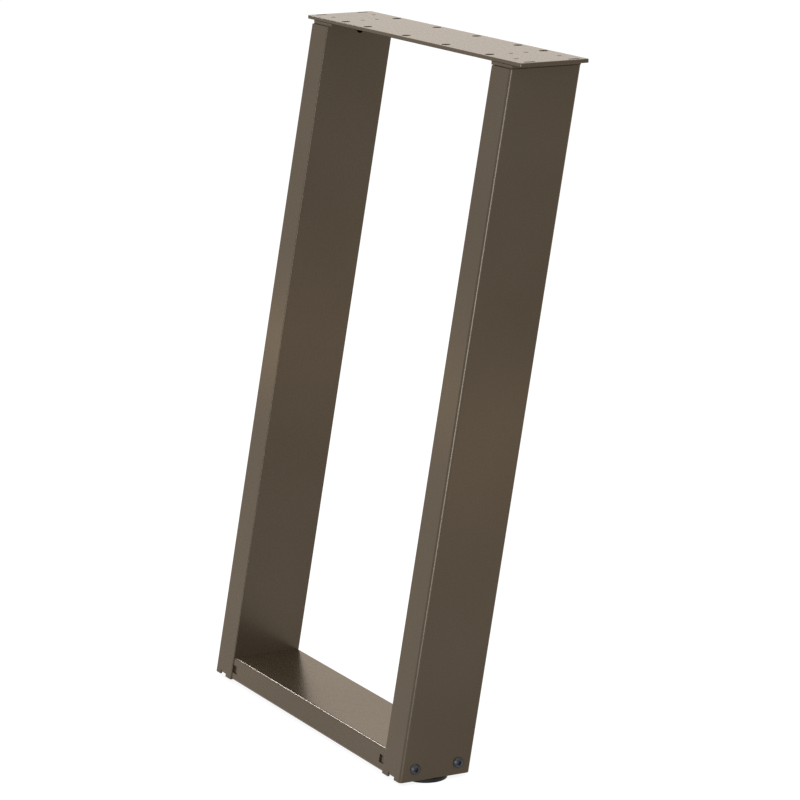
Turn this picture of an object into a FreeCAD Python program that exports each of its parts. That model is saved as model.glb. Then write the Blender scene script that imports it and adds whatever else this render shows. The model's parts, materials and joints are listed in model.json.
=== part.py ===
import FreeCAD, Part

import math
import os

import Sketcher
from FreeCAD import Vector

# A U-shaped steel leg for a table. Two box-section posts hang from a drilled top plate and a folded
# crossbar joins their feet. The posts and the bar lean together, and both ends of a post are cut level.
# The origin is the middle of the top plate's upper face. X runs along the plate, Z points up, and the
# posts' narrow faces look towards -Y. The right-hand pieces are modelled and the left ones mirrored.

doc = FreeCAD.newDocument("u_shaped_table_leg")

# Driving sizes, in millimetres and degrees
SIZES = [
    ("leg_height", 720, "from the top plate's upper face to the floor"),
    ("lean_angle", 10, "lean of the posts and the bar, in degrees"),
    ("plate_length", 476, "top plate"),
    ("plate_width", 77, "top plate"),
    ("plate_thick", 4, "top plate"),
    ("plate_corner", 2, "radius of the plate's corners"),
    ("plate_edge", 0.5, "chamfer round the plate's upper and lower edges"),
    ("plate_overhang", 14.5, "plate beyond the outer face of a post"),
    ("hole_dia", 9.5, "holes for the table screws"),
    ("hole_inset", 8, "centres of a row of holes from the plate's side"),
    ("hole_end", 77.5, "last hole of a row from the plate's end"),
    ("hole_pitch", 88, "spacing of the three middle holes of a row"),
    ("hole_shift", 20, "middle hole of a row off the plate's centre"),
    ("slot_width", 4, "corner slots"),
    ("slot_length", 13, "corner slots, end to end"),
    ("slot_end", 6.5, "centre of a slot from the plate's end"),
    ("slot_inset", 13.5, "centre of a slot from the plate's side"),
    ("cap_thick", 3.5, "cap plate between the top plate and a post"),
    ("cap_lip", 4.5, "cap plate beyond the inner face of a post"),
    ("cap_inset", 2, "cap plate short of the outer face of a post"),
    ("tongue_width", 30, "tongue of the cap plate"),
    ("tongue_reach", 48.5, "tongue of the cap plate, from the middle of a post"),
    ("post_width", 40, "narrow face of a post"),
    ("post_depth", 78, "broad face of a post, square to its lean"),
    ("post_wall", 2, "sheet of the outer shell"),
    ("post_fold", 3.7, "outside radius of the shell's folds"),
    ("panel_thick", 2, "inner panel that closes the shell"),
    ("panel_edge", 1, "radius of the ground corner of the panel"),
    ("drain_dia", 8, "drain hole in the inner panel"),
    ("drain_drop", 4.5, "centre of the drain hole below the top of a post"),
    ("notch_width", 13, "notch in the foot of a narrow face"),
    ("foot_rise", 2.5, "foot plate above the lower end of a post"),
    ("foot_plate_thick", 2.5, "foot plate"),
    ("foot_plate_gap", 0.35, "foot plate to the leaning walls"),
    ("tab_gap", 0.5, "each side of the foot plate's tab in its notch"),
    ("tab_setback", 0.4, "end of the tab behind the narrow face"),
    ("stud_dia", 8, "thread of the levelling screw"),
    ("stud_length", 28, "levelling screw above its flange"),
    ("stud_clearance", 0.06, "radial, between the screw and its nut"),
    ("flange_flats", 14, "hexagon flange of the levelling screw"),
    ("flange_gap", 0.3, "flange below the foot plate"),
    ("pivot_dia", 9, "end of the screw that turns in the pad"),
    ("pivot_length", 2.4, "end of the screw that turns in the pad"),
    ("pivot_clearance", 0.1, "pivot to the pad's socket"),
    ("nut_flats", 13, "weld nut of the levelling screw"),
    ("nut_height", 6.5, "weld nut of the levelling screw"),
    ("pad_dia", 44, "levelling pad"),
    ("pad_thick", 3.9, "levelling pad"),
    ("pad_gap", 0.3, "pad below the end of the post when it is screwed in"),
    ("pad_bevel", 0.9, "bevel of the pad's upper edge"),
    ("bar_height", 24.5, "crossbar"),
    ("bar_setback", 1, "crossbar behind the narrow faces"),
    ("bar_wall", 1.5, "sheet of the crossbar"),
    ("bar_fold", 2.4, "outside radius of the crossbar's folds"),
    ("bar_flange", 14, "flanges along the open underside of the crossbar"),
    ("window_width", 11.2, "notch in each end of the crossbar's sides"),
    ("window_height", 8.2, "notch in each end of the crossbar's sides"),
    ("bracket_thick", 2.5, "angle bracket in each end of the crossbar"),
    ("bracket_reach", 22, "upper leg of the bracket along the crossbar"),
    ("bracket_side", 12, "side flanges of the bracket along the crossbar"),
    ("bracket_side_drop", 5, "side flanges of the bracket below the bolts"),
    ("bracket_gap", 0.3, "bracket to the crossbar's sides and flanges"),
    ("bolt_dia", 6, "bolts through the foot of a post"),
    ("bolt_length", 50, "bolts, under the head"),
    ("bolt_inset", 15.4, "bolts from the narrow faces of a post"),
    ("bolt_clearance", 0.3, "radial, bolts in the sheet and sleeves"),
    ("thread_clearance", 0.05, "radial, bolts in their nuts"),
    ("head_dia", 11.5, "button head"),
    ("head_height", 3.3, "button head"),
    ("head_crown", 6.8, "crown of the button head round its socket"),
    ("socket_flats", 4, "hexagon socket"),
    ("socket_depth", 2.1, "hexagon socket"),
    ("bolt_nut_flats", 10, "weld nuts on the bracket"),
    ("bolt_nut_height", 5, "weld nuts on the bracket"),
    ("sleeve_dia", 10, "sleeves that keep a post from crushing"),
]

sheet = doc.addObject("Spreadsheet::Sheet", "Sizes")
for row, (alias, number, note) in enumerate(SIZES, 1):
    sheet.set(f"A{row}", note)
    sheet.set(f"B{row}", str(number))
    sheet.setAlias(f"B{row}", alias)
doc.recompute()

# Places that several pieces share, as expressions on the sheet
LEAN = "tan(Sizes.lean_angle)"
PLATE_END = "(Sizes.plate_length / 2)"
PLATE_SIDE = "(Sizes.plate_width / 2)"
POST_OUT = "(Sizes.plate_length / 2 - Sizes.plate_overhang)"
POST_IN = "(Sizes.plate_length / 2 - Sizes.plate_overhang - Sizes.post_width)"
POST_MID = "(Sizes.plate_length / 2 - Sizes.plate_overhang - Sizes.post_width / 2)"
POST_HALF = "(Sizes.post_depth / 2 / cos(Sizes.lean_angle))"
POST_TOP = "(-Sizes.plate_thick - Sizes.cap_thick)"
POST_LOW = "(-Sizes.leg_height + Sizes.pad_thick + Sizes.pad_gap)"
PANEL_IN = f"({POST_IN} + Sizes.panel_thick)"
SHELL_IN = f"({POST_OUT} - Sizes.post_wall)"
FOOT_Y = f"({POST_LOW} * {LEAN})"
FOOT_PLATE_LOW = f"({POST_LOW} + Sizes.foot_rise)"
FOOT_PLATE_TOP = f"({POST_LOW} + Sizes.foot_rise + Sizes.foot_plate_thick)"
PAD_TOP = "(-Sizes.leg_height + Sizes.pad_thick)"
FLANGE_LOW = f"({PAD_TOP} + Sizes.pivot_clearance)"
FLANGE_TOP = f"({FOOT_PLATE_LOW} - Sizes.flange_gap)"
BAR_TOP = f"({POST_LOW} + Sizes.bar_height)"
BAR_HALF = f"({POST_HALF} - Sizes.bar_setback)"
BOLT_Z = f"({POST_LOW} + Sizes.bar_height / 2)"
BOLT_Y = f"({BOLT_Z} * {LEAN})"
BRACKET_FACE = f"({POST_IN} - Sizes.bracket_thick)"
BOLT_HOLE = "(Sizes.bolt_dia / 2 + Sizes.bolt_clearance)"


def size(expression):
    """The present value of an expression on the sheet."""
    return float(sheet.evalExpression(expression))


def new_body(name):
    """A body whose label is the name of the piece."""
    body = doc.addObject("PartDesign::Body", name)
    body.Label = name
    return body


def new_sketch(body, name, role, along="0", right="0", up="0"):
    """A sketch on one of the body's own planes, moved along its normal, to the right and up."""
    sketch = body.newObject("Sketcher::SketchObject", name)
    plane = next(feature for feature in body.Origin.OriginFeatures if feature.Role == role)
    sketch.AttachmentSupport = [(plane, "")]
    sketch.MapMode = "FlatFace"
    for axis, shift in (("x", right), ("y", up), ("z", along)):
        if shift != "0":
            sketch.setExpression(f"AttachmentOffset.Base.{axis}", shift)
    return sketch


def hold(sketch, kind, expression, geometry, point):
    """Tie one coordinate of a point to an expression, measured from the sketch's origin."""
    distance = size(expression)
    if abs(distance) < 1e-9:
        axis = -2 if kind == "DistanceX" else -1
        sketch.addConstraint(Sketcher.Constraint("PointOnObject", geometry, point, axis))
        return
    if distance > 0:
        index = sketch.addConstraint(Sketcher.Constraint(kind, -1, 1, geometry, point, distance))
        sketch.setExpression(f"Constraints[{index}]", expression)
    else:
        index = sketch.addConstraint(Sketcher.Constraint(kind, geometry, point, -1, 1, -distance))
        sketch.setExpression(f"Constraints[{index}]", f"-({expression})")


def hold_point(sketch, geometry, point, x, y):
    """Tie both coordinates of a point."""
    hold(sketch, "DistanceX", x, geometry, point)
    hold(sketch, "DistanceY", y, geometry, point)


def polygon(sketch, corners):
    """A closed outline through corners given as pairs of expressions."""
    places = [Vector(size(x), size(y), 0) for x, y in corners]
    lines = []
    for place, following in zip(places, places[1:] + places[:1]):
        lines.append(sketch.addGeometry(Part.LineSegment(place, following), False))
    for line, following in zip(lines, lines[1:] + lines[:1]):
        sketch.addConstraint(Sketcher.Constraint("Coincident", line, 2, following, 1))
    for line, (x, y) in zip(lines, corners):
        hold_point(sketch, line, 1, x, y)


def rectangle(sketch, left, right, low, high):
    """An upright rectangle between four expressions."""
    polygon(sketch, [(left, low), (right, low), (right, high), (left, high)])


def circle(sketch, x, y, radius):
    """A circle with its centre and radius on the sheet."""
    centre = Vector(size(x), size(y), 0)
    ring = sketch.addGeometry(Part.Circle(centre, Vector(0, 0, 1), size(radius)), False)
    hold_point(sketch, ring, 3, x, y)
    index = sketch.addConstraint(Sketcher.Constraint("Radius", ring, size(radius)))
    sketch.setExpression(f"Constraints[{index}]", radius)


def slot(sketch, x, y, reach, radius):
    """A slot along Y with its two end centres a reach either side of the middle."""
    places = [(x, f"({y} - {reach})"), (x, f"({y} + {reach})")]
    centres = [Vector(size(px), size(py), 0) for px, py in places]
    round_end = size(radius)
    arcs = []
    for centre, start, stop in ((centres[0], math.pi, 2 * math.pi), (centres[1], 0, math.pi)):
        ring = Part.Circle(centre, Vector(0, 0, 1), round_end)
        arcs.append(sketch.addGeometry(Part.ArcOfCircle(ring, start, stop), False))
    side = Vector(round_end, 0, 0)
    right = sketch.addGeometry(Part.LineSegment(centres[0] + side, centres[1] + side), False)
    left = sketch.addGeometry(Part.LineSegment(centres[1] - side, centres[0] - side), False)
    joins = ((arcs[0], 2, right, 1), (right, 2, arcs[1], 1), (arcs[1], 2, left, 1), (left, 2, arcs[0], 1))
    for first, first_end, second, second_end in joins:
        sketch.addConstraint(Sketcher.Constraint("Tangent", first, first_end, second, second_end))
    for arc, (px, py) in zip(arcs, places):
        hold_point(sketch, arc, 3, px, py)
    index = sketch.addConstraint(Sketcher.Constraint("Radius", arcs[0], round_end))
    sketch.setExpression(f"Constraints[{index}]", radius)


def hexagon(sketch, x, y, flats):
    """A hexagon with two corners level with its centre, sized across its flats."""
    corner = f"({flats} / 2 / cos(30))"
    corners = []
    for step in range(6):
        corners.append((f"({x} + {corner} * cos({60 * step}))", f"({y} + {corner} * sin({60 * step}))"))
    polygon(sketch, corners)


def pad(body, name, sketch, length, reverse=False):
    """A pad along the sketch's normal."""
    feature = body.newObject("PartDesign::Pad", name)
    feature.Profile = sketch
    feature.setExpression("Length", length)
    feature.Reversed = reverse
    body.Tip = feature
    return feature


def leaning_pad(body, name, sketch, length):
    """A pad that rises with the lean of the posts, with its length measured upright."""
    feature = pad(body, name, sketch, length)
    feature.UseCustomVector = True
    feature.Direction = Vector(0, size(LEAN), 1)
    feature.setExpression("Direction.y", LEAN)
    feature.AlongSketchNormal = True
    return feature


def cut_through(body, name, sketch):
    """A pocket from the sketch's plane through everything behind it."""
    doc.recompute()
    before = body.Shape.Volume
    feature = body.newObject("PartDesign::Pocket", name)
    feature.Profile = sketch
    feature.Type = "ThroughAll"
    body.Tip = feature
    doc.recompute()
    if not body.Shape.Volume < before:
        raise RuntimeError(f"{name} in {body.Label} cuts nothing")
    return feature


def cut_to(body, name, sketch, depth):
    """A pocket of a set depth."""
    doc.recompute()
    before = body.Shape.Volume
    feature = body.newObject("PartDesign::Pocket", name)
    feature.Profile = sketch
    feature.setExpression("Length", depth)
    body.Tip = feature
    doc.recompute()
    if not body.Shape.Volume < before:
        raise RuntimeError(f"{name} in {body.Label} cuts nothing")
    return feature


def edges(shape, test):
    """Names of the edges that pass a test."""
    return [f"Edge{number}" for number, edge in enumerate(shape.Edges, 1) if test(edge)]


def faces(shape, test):
    """Names of the faces that pass a test."""
    return [f"Face{number}" for number, face in enumerate(shape.Faces, 1) if test(face)]


def dress(body, kind, name, amount, test):
    """A fillet or chamfer on the edges of the tip that pass a test."""
    doc.recompute()
    base = body.Tip
    names = edges(base.Shape, test)
    if not names:
        raise RuntimeError(f"{name} in {body.Label} finds no edge")
    feature = body.newObject(f"PartDesign::{kind}", name)
    feature.Base = (base, names)
    feature.setExpression("Radius" if kind == "Fillet" else "Size", amount)
    body.Tip = feature
    return feature


def hollow(body, name, wall, test):
    """Turn the solid into sheet of one thickness, open at the faces that pass a test."""
    doc.recompute()
    base = body.Tip
    feature = body.newObject("PartDesign::Thickness", name)
    feature.Base = (base, faces(base.Shape, test))
    feature.setExpression("Value", wall)
    feature.Reversed = True
    body.Tip = feature
    return feature


def straight(edge, x=None, y=None, z=None):
    """Whether an edge is straight with its middle at the places given."""
    if edge.Curve.TypeId != "Part::GeomLine":
        return False
    middle = edge.CenterOfMass
    wanted = ((middle.x, x), (middle.y, y), (middle.z, z))
    return all(place is None or abs(found - place) < 1e-3 for found, place in wanted)


def lies(face, x=None, y=None, z=None):
    """Whether a flat face lies wholly at the coordinate given."""
    box = face.BoundBox
    wanted = ((box.XMin, box.XMax, x), (box.YMin, box.YMax, y), (box.ZMin, box.ZMax, z))
    return all(at is None or (abs(low - at) < 1e-3 and abs(high - at) < 1e-3) for low, high, at in wanted)


def leaning_corners(half, low, high):
    """Four corners, in Y and Z, of a section that leans between two levels."""
    return [
        (f"({low} * {LEAN} - {half})", low),
        (f"({low} * {LEAN} + {half})", low),
        (f"({high} * {LEAN} + {half})", high),
        (f"({high} * {LEAN} - {half})", high),
    ]


def bolt_places():
    """Y and Z of the two bolts through the foot of a post."""
    return [(f"({BOLT_Y} + {side} * ({POST_HALF} - Sizes.bolt_inset))", BOLT_Z) for side in (-1, 1)]


def bolt_holes(body, name, plane_x, radius):
    """Two holes along X, cut from a plane outside the piece."""
    sketch = new_sketch(body, name + "_sketch", "YZ_Plane", along=plane_x)
    for y, z in bolt_places():
        circle(sketch, y, z, radius)
    cut_through(body, name, sketch)


# Top plate
def make_top_plate():
    """Flat bar with two rows of screw holes and a slot at each corner."""
    body = new_body("top_plate")
    outline = new_sketch(body, "plate_outline", "XY_Plane")
    rectangle(outline, f"-{PLATE_END}", PLATE_END, f"-{PLATE_SIDE}", PLATE_SIDE)
    pad(body, "plate_blank", outline, "Sizes.plate_thick", reverse=True)
    middle = -size("Sizes.plate_thick") / 2
    dress(body, "Fillet", "plate_corners", "Sizes.plate_corner", lambda edge: straight(edge, z=middle))

    row_y = f"(Sizes.hole_inset - {PLATE_SIDE})"
    last_x = f"({PLATE_END} - Sizes.hole_end)"
    centres = [f"-{last_x}", last_x]
    for step in (-1, 0, 1):
        centres.append(f"({step} * Sizes.hole_pitch - Sizes.hole_shift)")
    holes = new_sketch(body, "front_row", "XY_Plane")
    for x in centres:
        circle(holes, x, row_y, "Sizes.hole_dia / 2")
    row = cut_through(body, "front_holes", holes)

    slots = new_sketch(body, "front_slots", "XY_Plane")
    slot_y = f"(Sizes.slot_inset - {PLATE_SIDE})"
    reach = "((Sizes.slot_length - Sizes.slot_width) / 2)"
    for side in (-1, 1):
        slot_x = f"({side} * ({PLATE_END} - Sizes.slot_end))"
        slot(slots, slot_x, slot_y, reach, "(Sizes.slot_width / 2)")
    pair = cut_through(body, "corner_slots", slots)

    # The back half repeats the front half turned half round.
    turn = body.newObject("PartDesign::PolarPattern", "back_half")
    turn.Originals = [row, pair]
    turn.Axis = (holes, ["N_Axis"])
    turn.Angle = 360
    turn.Occurrences = 2
    body.Tip = turn
    corner = size("Sizes.plate_corner")
    length, width = size(PLATE_END), size(PLATE_SIDE)

    def on_rim(edge):
        """Whether an edge runs round the upper or the lower face."""
        middle = edge.CenterOfMass
        outside = abs(middle.x) > length - corner or abs(middle.y) > width - corner
        return outside and edge.BoundBox.ZLength < 1e-3

    dress(body, "Chamfer", "plate_rim", "Sizes.plate_edge", on_rim)
    return body


# Cap plate on the head of a post
def make_cap_plate():
    """Plate between the top plate and the post, with a tongue under the top plate."""
    body = new_body("right_cap_plate")
    outline = new_sketch(body, "cap_outline", "XY_Plane", along="-Sizes.plate_thick")
    outer = f"({POST_OUT} - Sizes.cap_inset)"
    inner = f"({POST_IN} - Sizes.cap_lip)"
    tip = f"({POST_MID} - Sizes.tongue_reach)"
    half = "(Sizes.tongue_width / 2)"
    polygon(outline, [
        (outer, f"-{PLATE_SIDE}"), (outer, PLATE_SIDE), (inner, PLATE_SIDE), (inner, half),
        (tip, half), (tip, f"-{half}"), (inner, f"-{half}"), (inner, f"-{PLATE_SIDE}"),
    ])
    pad(body, "cap_blank", outline, "Sizes.cap_thick", reverse=True)
    return body


# Post
def make_outer_shell():
    """Sheet folded to a U, open towards the middle of the leg, notched and drilled at its foot."""
    body = new_body("right_outer_shell")
    section = new_sketch(body, "shell_section", "XY_Plane", along=POST_LOW)
    rectangle(section, PANEL_IN, POST_OUT, f"({FOOT_Y} - {POST_HALF})", f"({FOOT_Y} + {POST_HALF})")
    leaning_pad(body, "shell_blank", section, f"{POST_TOP} - {POST_LOW}")
    outer, inner = size(POST_OUT), size(PANEL_IN)
    top, low = size(POST_TOP), size(POST_LOW)
    middle = (top + low) / 2
    dress(body, "Fillet", "shell_folds", "Sizes.post_fold", lambda edge: straight(edge, x=outer, z=middle))
    hollow(body, "shell_sheet", "Sizes.post_wall",
           lambda face: lies(face, z=top) or lies(face, z=low) or lies(face, x=inner))
    bolt_holes(body, "shell_bolt_holes", f"({POST_OUT} + Sizes.post_width)", BOLT_HOLE)
    notch = new_sketch(body, "foot_notch_sketch", "XZ_Plane", along="Sizes.leg_height")
    rectangle(notch, f"({POST_MID} - Sizes.notch_width / 2)", f"({POST_MID} + Sizes.notch_width / 2)",
              f"({POST_LOW} - Sizes.pad_thick)", FOOT_PLATE_TOP)
    cut_through(body, "foot_notches", notch)
    return body


def make_inner_panel():
    """Flat strip that closes the shell, with a drain hole at its head."""
    body = new_body("right_inner_panel")
    section = new_sketch(body, "panel_section", "XY_Plane", along=POST_LOW)
    rectangle(section, POST_IN, PANEL_IN, f"({FOOT_Y} - {POST_HALF})", f"({FOOT_Y} + {POST_HALF})")
    leaning_pad(body, "panel_blank", section, f"{POST_TOP} - {POST_LOW}")
    inner = size(POST_IN)
    middle = (size(POST_TOP) + size(POST_LOW)) / 2
    dress(body, "Fillet", "panel_edges", "Sizes.panel_edge", lambda edge: straight(edge, x=inner, z=middle))
    bolt_holes(body, "panel_bolt_holes", f"({POST_OUT} + Sizes.post_width)", BOLT_HOLE)
    drain = new_sketch(body, "drain_sketch", "YZ_Plane", along=f"({POST_OUT} + Sizes.post_width)")
    drain_z = f"({POST_TOP} - Sizes.drain_drop)"
    circle(drain, f"({drain_z} * {LEAN})", drain_z, "Sizes.drain_dia / 2")
    cut_through(body, "drain_hole", drain)
    return body


# Foot of a post
def make_foot_plate():
    """Level plate inside the post that carries the levelling screw; its tabs show in the notches."""
    body = new_body("right_foot_plate")
    outline = new_sketch(body, "foot_outline", "XY_Plane", along=FOOT_PLATE_LOW)
    centre = f"(({FOOT_PLATE_LOW} + Sizes.foot_plate_thick / 2) * {LEAN})"
    half = "((Sizes.post_depth / 2 - Sizes.post_wall) / cos(Sizes.lean_angle) - Sizes.foot_plate_gap)"
    reach = f"({POST_HALF} - Sizes.tab_setback)"
    tab = "(Sizes.notch_width / 2 - Sizes.tab_gap)"
    polygon(outline, [
        (PANEL_IN, f"({centre} - {half})"),
        (f"({POST_MID} - {tab})", f"({centre} - {half})"),
        (f"({POST_MID} - {tab})", f"({centre} - {reach})"),
        (f"({POST_MID} + {tab})", f"({centre} - {reach})"),
        (f"({POST_MID} + {tab})", f"({centre} - {half})"),
        (SHELL_IN, f"({centre} - {half})"),
        (SHELL_IN, f"({centre} + {half})"),
        (f"({POST_MID} + {tab})", f"({centre} + {half})"),
        (f"({POST_MID} + {tab})", f"({centre} + {reach})"),
        (f"({POST_MID} - {tab})", f"({centre} + {reach})"),
        (f"({POST_MID} - {tab})", f"({centre} + {half})"),
        (PANEL_IN, f"({centre} + {half})"),
    ])
    circle(outline, POST_MID, FOOT_Y, "(Sizes.stud_dia / 2 + Sizes.bolt_clearance)")
    pad(body, "foot_blank", outline, "Sizes.foot_plate_thick")
    wall = size(SHELL_IN)
    level = size(FOOT_PLATE_LOW) + size("Sizes.foot_plate_thick") / 2
    dress(body, "Fillet", "foot_corners", "Sizes.post_fold - Sizes.post_wall",
          lambda edge: straight(edge, x=wall, z=level) and edge.BoundBox.YLength < 1e-3)
    return body


def make_foot_nut():
    """Weld nut on the foot plate."""
    body = new_body("right_foot_nut")
    outline = new_sketch(body, "nut_outline", "XY_Plane", along=FOOT_PLATE_TOP)
    hexagon(outline, POST_MID, FOOT_Y, "Sizes.nut_flats")
    circle(outline, POST_MID, FOOT_Y, "(Sizes.stud_dia / 2 + Sizes.stud_clearance)")
    pad(body, "nut_blank", outline, "Sizes.nut_height")
    return body


def make_foot_screw():
    """Levelling screw: pivot in the pad, hexagon flange for a spanner, threaded stud."""
    body = new_body("right_foot_screw")
    flange = new_sketch(body, "flange_outline", "XY_Plane", along=FLANGE_LOW)
    hexagon(flange, POST_MID, FOOT_Y, "Sizes.flange_flats")
    pad(body, "flange", flange, f"{FLANGE_TOP} - {FLANGE_LOW}")
    pivot = new_sketch(body, "pivot_outline", "XY_Plane", along=FLANGE_LOW)
    circle(pivot, POST_MID, FOOT_Y, "Sizes.pivot_dia / 2")
    pad(body, "pivot", pivot, "Sizes.pivot_length", reverse=True)
    stud = new_sketch(body, "stud_outline", "XY_Plane", along=FLANGE_TOP)
    circle(stud, POST_MID, FOOT_Y, "Sizes.stud_dia / 2")
    pad(body, "stud", stud, "Sizes.stud_length")
    return body


def make_foot_pad():
    """Low round pad with a socket for the screw's pivot, turned about the screw's axis."""
    body = new_body("right_foot_pad")
    profile = new_sketch(body, "pad_profile", "XZ_Plane", along=f"-{FOOT_Y}", right=POST_MID, up=PAD_TOP)
    rim = "Sizes.pad_dia / 2"
    socket = "(Sizes.pivot_dia / 2 + Sizes.pivot_clearance)"
    floor = "(-Sizes.pivot_length - Sizes.pivot_clearance)"
    polygon(profile, [
        ("0", "-Sizes.pad_thick"), (f"({rim})", "-Sizes.pad_thick"),
        (f"({rim})", "-Sizes.pad_bevel"), (f"({rim} - Sizes.pad_bevel)", "0"),
        (socket, "0"), (socket, floor), ("0", floor),
    ])
    turning = body.newObject("PartDesign::Revolution", "pad_turning")
    turning.Profile = profile
    turning.ReferenceAxis = (profile, ["V_Axis"])
    turning.Angle = 360
    body.Tip = turning
    return body


# Crossbar between the feet of the posts
def make_crossbar():
    """Sheet folded to a channel that leans with the posts, open below between two flanges."""
    body = new_body("crossbar")
    section = new_sketch(body, "bar_section", "YZ_Plane", along=f"-{POST_IN}")
    polygon(section, leaning_corners(BAR_HALF, POST_LOW, BAR_TOP))
    pad(body, "bar_blank", section, f"2 * {POST_IN}")
    end = size(POST_IN)
    dress(body, "Fillet", "bar_folds", "Sizes.bar_fold", lambda edge: straight(edge, x=0))
    hollow(body, "bar_sheet", "Sizes.bar_wall", lambda face: lies(face, x=end) or lies(face, x=-end))
    opening = new_sketch(body, "bar_opening", "XY_Plane", along=f"({POST_LOW} + 2 * Sizes.bar_wall)")
    gap = f"({BAR_HALF} - Sizes.bar_flange)"
    rectangle(opening, f"-{POST_MID}", POST_MID, f"({FOOT_Y} - {gap})", f"({FOOT_Y} + {gap})")
    cut_through(body, "bar_underside", opening)
    windows = new_sketch(body, "bar_windows", "XZ_Plane", along="Sizes.leg_height")
    for side in (-1, 1):
        near = f"({side} * ({POST_IN} - Sizes.window_width))"
        far = f"({side} * {POST_MID})"
        left, right = (near, far) if side > 0 else (far, near)
        rectangle(windows, left, right, f"({BOLT_Z} - Sizes.window_height / 2)",
                  f"({BOLT_Z} + Sizes.window_height / 2)")
    cut_through(body, "end_windows", windows)
    return body


def make_bar_bracket():
    """Bracket in the end of the crossbar: a plate takes the bolts, a leg lies under the bar's top and
    two short flanges lie behind its sides."""
    body = new_body("right_bar_bracket")
    half = f"({BAR_HALF} - Sizes.bar_wall / cos(Sizes.lean_angle) - Sizes.bracket_gap)"
    low = f"({POST_LOW} + Sizes.bar_wall + Sizes.bracket_gap)"
    high = f"({BAR_TOP} - Sizes.bar_wall)"
    plate = new_sketch(body, "bracket_face", "YZ_Plane", along=POST_IN)
    polygon(plate, leaning_corners(half, low, high))
    pad(body, "bracket_plate", plate, "Sizes.bracket_thick", reverse=True)
    leg = new_sketch(body, "bracket_leg_section", "YZ_Plane", along=POST_IN)
    polygon(leg, leaning_corners(half, f"({high} - Sizes.bracket_thick)", high))
    pad(body, "bracket_leg", leg, "Sizes.bracket_reach", reverse=True)
    across = "Sizes.bracket_thick / cos(Sizes.lean_angle)"
    bottom = f"({BOLT_Z} - Sizes.bracket_side_drop)"
    for name, side in (("front", -1), ("back", 1)):
        section = new_sketch(body, f"bracket_{name}_section", "YZ_Plane", along=POST_IN)
        polygon(section, [
            (f"({level} * {LEAN} + {side} * {edge})", level)
            for edge, level in ((half, bottom), (half, high), (f"({half} - {across})", high),
                                (f"({half} - {across})", bottom))
        ])
        pad(body, f"bracket_{name}_flange", section, "Sizes.bracket_side", reverse=True)
    leg_middle = size(POST_IN) - size("Sizes.bracket_reach") / 2
    plate_middle = size(POST_IN) - size("Sizes.bracket_thick") / 2
    dress(body, "Fillet", "bracket_corners", "Sizes.bar_fold - Sizes.bar_wall + Sizes.bracket_gap",
          lambda edge: straight(edge, x=leg_middle, z=size(high)) or straight(edge, x=plate_middle, z=size(low)))
    bolt_holes(body, "bracket_bolt_holes", POST_MID, BOLT_HOLE)
    return body


def make_bar_nuts():
    """Two weld nuts on the bracket."""
    body = new_body("right_bar_nuts")
    outline = new_sketch(body, "bar_nut_outlines", "YZ_Plane", along=BRACKET_FACE)
    for y, z in bolt_places():
        hexagon(outline, y, z, "Sizes.bolt_nut_flats")
        circle(outline, y, z, "(Sizes.bolt_dia / 2 + Sizes.thread_clearance)")
    pad(body, "bar_nut_blanks", outline, "Sizes.bolt_nut_height", reverse=True)
    return body


def make_bar_bolts():
    """Two button-head bolts through the post and into the bracket's nuts."""
    body = new_body("right_bar_bolts")
    heads = new_sketch(body, "head_outlines", "YZ_Plane", along=POST_OUT)
    shanks = new_sketch(body, "shank_outlines", "YZ_Plane", along=POST_OUT)
    for y, z in bolt_places():
        circle(heads, y, z, "Sizes.head_dia / 2")
        circle(shanks, y, z, "Sizes.bolt_dia / 2")
    domes = pad(body, "heads", heads, "Sizes.head_height")
    domes.setExpression("TaperAngle", "-atan((Sizes.head_dia - Sizes.head_crown) / 2 / Sizes.head_height)")
    pad(body, "shanks", shanks, "Sizes.bolt_length", reverse=True)
    sockets = new_sketch(body, "socket_outlines", "YZ_Plane", along=f"({POST_OUT} + Sizes.head_height)")
    for y, z in bolt_places():
        hexagon(sockets, y, z, "Sizes.socket_flats")
    cut_to(body, "hexagon_sockets", sockets, "Sizes.socket_depth")
    return body


def make_bolt_sleeves():
    """Two tubes between the walls of the post that take the pull of the bolts."""
    body = new_body("right_bolt_sleeves")
    rings = new_sketch(body, "sleeve_rings", "YZ_Plane", along=PANEL_IN)
    for y, z in bolt_places():
        circle(rings, y, z, "Sizes.sleeve_dia / 2")
        circle(rings, y, z, BOLT_HOLE)
    pad(body, "sleeve_tubes", rings, f"{SHELL_IN} - {PANEL_IN}")
    return body


def mirrored(body):
    """The left-hand piece, mirrored across the middle of the leg."""
    name = body.Label.replace("right_", "left_")
    copy = doc.addObject("Part::Mirroring", name)
    copy.Label = name
    copy.Source = body
    copy.Normal = Vector(1, 0, 0)
    return copy


def both_sides(name, body):
    """Identical fasteners of both posts as one group of separate solids."""
    group = doc.addObject("Part::Compound", name)
    group.Label = name
    group.Links = [body, mirrored(body)]
    return group


pieces = [
    make_top_plate(),
    make_crossbar(),
    both_sides("foot_nuts", make_foot_nut()),
    both_sides("bar_nuts", make_bar_nuts()),
    both_sides("bar_bolts", make_bar_bolts()),
    both_sides("bolt_sleeves", make_bolt_sleeves()),
]
for make in (make_cap_plate, make_outer_shell, make_inner_panel, make_foot_plate, make_foot_screw,
             make_foot_pad, make_bar_bracket):
    right = make()
    pieces += [right, mirrored(right)]
doc.recompute()

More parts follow.
